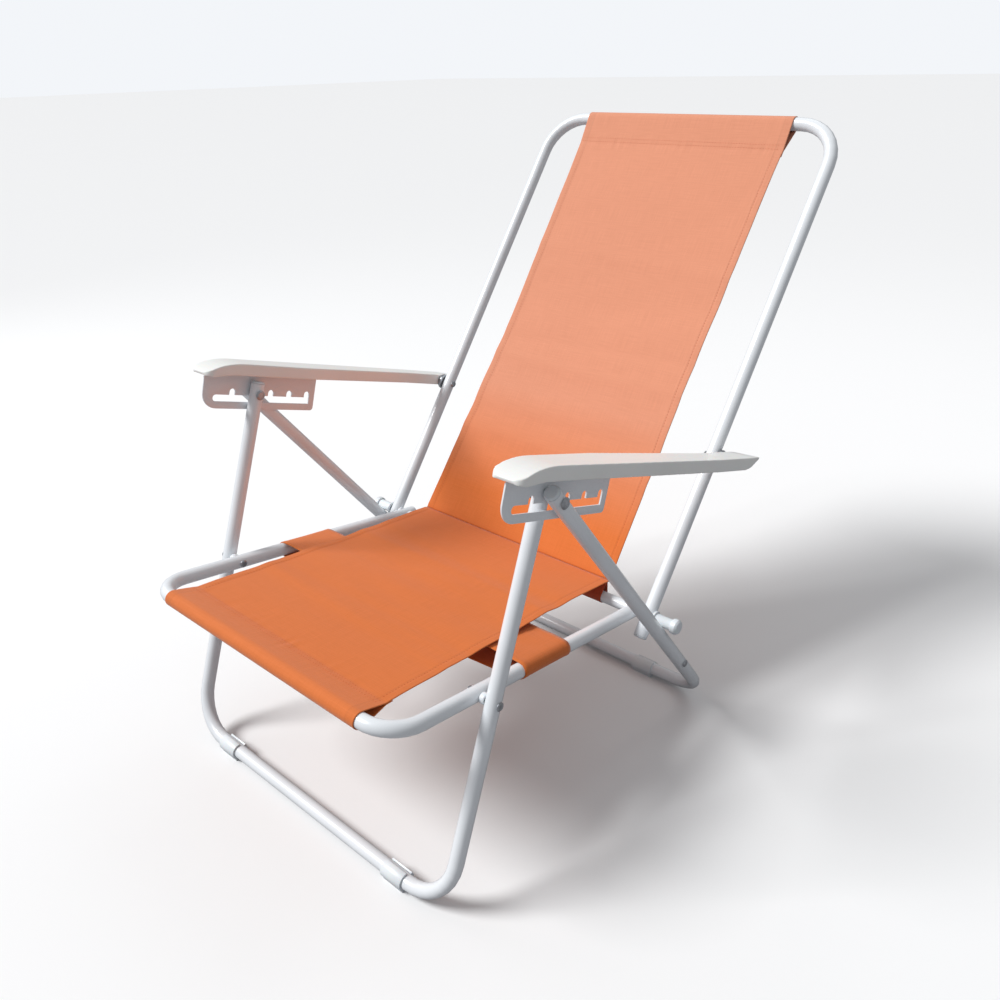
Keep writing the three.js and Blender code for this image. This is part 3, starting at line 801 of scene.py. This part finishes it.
def makeStrap(shape):
    loop = strapLoop(shape)
    count, rows, step = len(loop), shape["rows"], shape["step"]
    build = bmesh.new()
    runs = build.loops.layers.uv.new("clothRun")
    grid, flat = [], {}
    for i in range(rows + 1):
        along = shape["start"] + shape["width"] * i / rows
        edge = min(i, rows - i) * shape["width"] / rows
        line = []
        for j, spot in enumerate(loop):
            ahead = (loop[(j + 1) % count] - loop[j - 1]).normalized()
            rise = wrinkle(j * step, along, *shape["wrinkle"])
            rise *= shape["grippedShare"] if abs(spot.x) > shape["tubeAt"] - shape["gripped"] else 1
            rise += (shape["hemLift"] if edge < shape["hem"] else 0.0) - shape["settle"]
            place = spot - leftOf(ahead) * rise
            side = seatPivot + seatRun * along + leftOf(seatRun) * place.y
            corner = build.verts.new((place.x, side.x, side.y))
            flat[corner] = (j * step, along)
            line.append(corner)
        grid.append(line)
    for low, high in zip(grid, grid[1:]):
        for j in range(count):
            k = (j + 1) % count
            face = build.faces.new((low[j], low[k], high[k], high[j]))
            face.smooth = True
            for corner in face.loops:
                u, v = flat[corner.vert]
                closes = k == 0 and corner.vert in (low[k], high[k])
                corner[runs].uv = (count * step if closes else u, v)
    bmesh.ops.recalc_face_normals(build, faces=build.faces)
    piece = meshPiece("seat_strap_cloth", build, finishes["sling_fabric"])
    thicken(piece)
    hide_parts("under_seat_strap")
    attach(piece, "seat")
    around = sum((b - a).length for a, b in zip(loop, loop[1:] + loop[:1]))
    around + shape["overlap"]


makeStrap(strapCloth)
print("strap and loop made")


armrest = {"voxel": 0.95 * mm, "smoothing": 7, "keep": 0.22}  # keep is the share of faces left


def makeArmrest(side):  # the moulding with its edges worn round
    source = nodes["armrest_" + side]
    piece = source.copy()
    piece.data = source.data.copy()
    piece.name = piece.data.name = "armrest_moulding_" + side
    for key in list(piece.keys()):
        del piece[key]
    piece.parent = None
    piece.modifiers.clear()
    bpy.context.scene.collection.objects.link(piece)
    weldCorners(piece)
    remesh = piece.modifiers.new("even", "REMESH")
    remesh.mode, remesh.voxel_size, remesh.use_smooth_shade = "VOXEL", armrest["voxel"], True
    smooth = piece.modifiers.new("soft", "SMOOTH")
    smooth.factor, smooth.iterations = 0.5, armrest["smoothing"]
    fewer = piece.modifiers.new("fewer", "DECIMATE")
    fewer.ratio = armrest["keep"]
    applyAll(piece)
    shadeSmooth(piece)
    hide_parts("armrest_" + side)
    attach(piece, "arm_" + side)


for side in ("right", "left"):
    makeArmrest(side)
print("armrests made")


studio = {
    "floor": srgb(0.965, 0.965, 0.965),
    "floorBounce": srgb(0.60, 0.60, 0.61),  # what the floor throws back up at the chair
    "sky": srgb(0.975, 0.985, 1.0),
    "skyLight": 0.35,  # what the sky gives the chair
    "skySeen": 0.95,  # how bright it stands behind the chair
    "floorSize": 80,
    "key": {"from": (-0.70, -0.72, 1.0), "spread": 22, "power": 2.85},  # spread in degrees
    "panelAim": (0, 0, 0.35),
    "panels": {
        "leftPanel": {"at": (-2.6, -0.6, 1.6), "size": 1.2, "power": 9},
        "topPanel": {"at": (0.2, 1.6, 2.7), "size": 1.6, "power": 7},
    },
}


def addFloor(place):
    bpy.ops.mesh.primitive_plane_add(size=place["floorSize"])
    floor = bpy.context.object
    floor.name = "floor"
    finish = Finish("paleFloor", Roughness=0.9)
    seen = finish.node("ShaderNodeLightPath", {}, {})  # 1 for what the camera sees itself
    finish.show(Base_Color=finish.blendColours(seen, place["floorBounce"], place["floor"]))
    floor.data.materials.append(finish.material)


def addKey(light):
    bpy.ops.object.light_add(type="SUN", location=light["from"])
    lamp = bpy.context.object
    lamp.name = "keyLight"
    lamp.data.energy, lamp.data.angle = light["power"], math.radians(light["spread"])
    lamp.rotation_euler = (-Vector(light["from"])).to_track_quat("-Z", "Y").to_euler()


def addPanel(name, light):
    bpy.ops.object.light_add(type="AREA", location=light["at"])
    lamp = bpy.context.object
    lamp.name = name
    lamp.data.energy, lamp.data.size = light["power"], light["size"]
    aim = Vector(studio["panelAim"]) - Vector(light["at"])
    lamp.rotation_euler = aim.to_track_quat("-Z", "Y").to_euler()


def addSky(place):
    world = bpy.data.worlds.new("studio")
    bpy.context.scene.world = world
    world.use_nodes = True
    tree = world.node_tree
    backdrop = tree.nodes["Background"]
    backdrop.inputs["Color"].default_value = place["sky"]
    seen = tree.nodes.new("ShaderNodeLightPath")
    level = tree.nodes.new("ShaderNodeMapRange")
    level.inputs["To Min"].default_value = place["skyLight"]
    level.inputs["To Max"].default_value = place["skySeen"]
    tree.links.new(seen.outputs["Is Camera Ray"], level.inputs["Value"])
    tree.links.new(level.outputs["Result"], backdrop.inputs["Strength"])


addFloor(studio)
addSky(studio)
addKey(studio["key"])
for name, light in studio["panels"].items():
    addPanel(name, light)
bpy.context.scene.view_settings.view_transform = "Standard"
print("studio lit")
